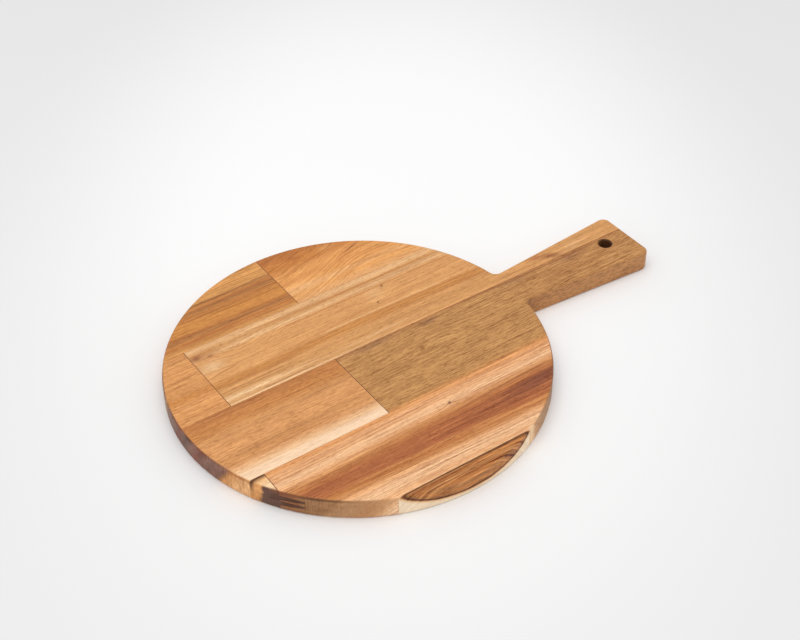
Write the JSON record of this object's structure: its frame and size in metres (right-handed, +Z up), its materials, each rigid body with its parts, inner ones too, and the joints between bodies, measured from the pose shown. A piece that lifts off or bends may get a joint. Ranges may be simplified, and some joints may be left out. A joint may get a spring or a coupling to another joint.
{
  "type": "pizza serving board",
  "caption": "Round wooden pizza serving board with a flared handle and a hanging hole, edge-glued from solid staves whose ends meet in finger joints.",
  "frame": {"origin": "on the underside, below the centre of the round board", "axes": "+X along the handle, from the centre of the round board to the handle's end; +Y to the rear; +Z up, out of the serving face"},
  "size_m": [0.467, 0.33, 0.02],
  "materials": {
    "wood_brown": "oiled, satin",
    "wood_orange": "oiled, satin",
    "wood_amber": "oiled, satin",
    "wood_tan": "oiled, satin",
    "wood_peach": "oiled, satin",
    "wood_khaki": "oiled, satin",
    "wood_pale": "oiled, satin",
    "wood_red": "oiled, satin",
    "wood_heart": "oiled, satin",
    "wood_glue": "cured wood glue, sanded flush"
  },
  "bodies": {
    "root": {"rear_left_stave": "wood_brown", "rear_right_stave": "wood_orange", "second_left_stave": "wood_amber", "second_handle_stave": "wood_tan", "centre_left_stave": "wood_peach", "centre_handle_stave": "wood_khaki", "fourth_left_stave": "wood_pale", "fourth_right_stave": "wood_red", "front_stave": "wood_heart", "rear_seam_glue": "wood_glue", "handle_seam_glue": "wood_glue", "centre_seam_glue": "wood_glue", "front_seam_glue": "wood_glue", "rear_finger_glue": "wood_glue", "second_finger_glue": "wood_glue", "centre_finger_glue": "wood_glue", "fourth_finger_glue": "wood_glue"}
  },
  "joints": []
}
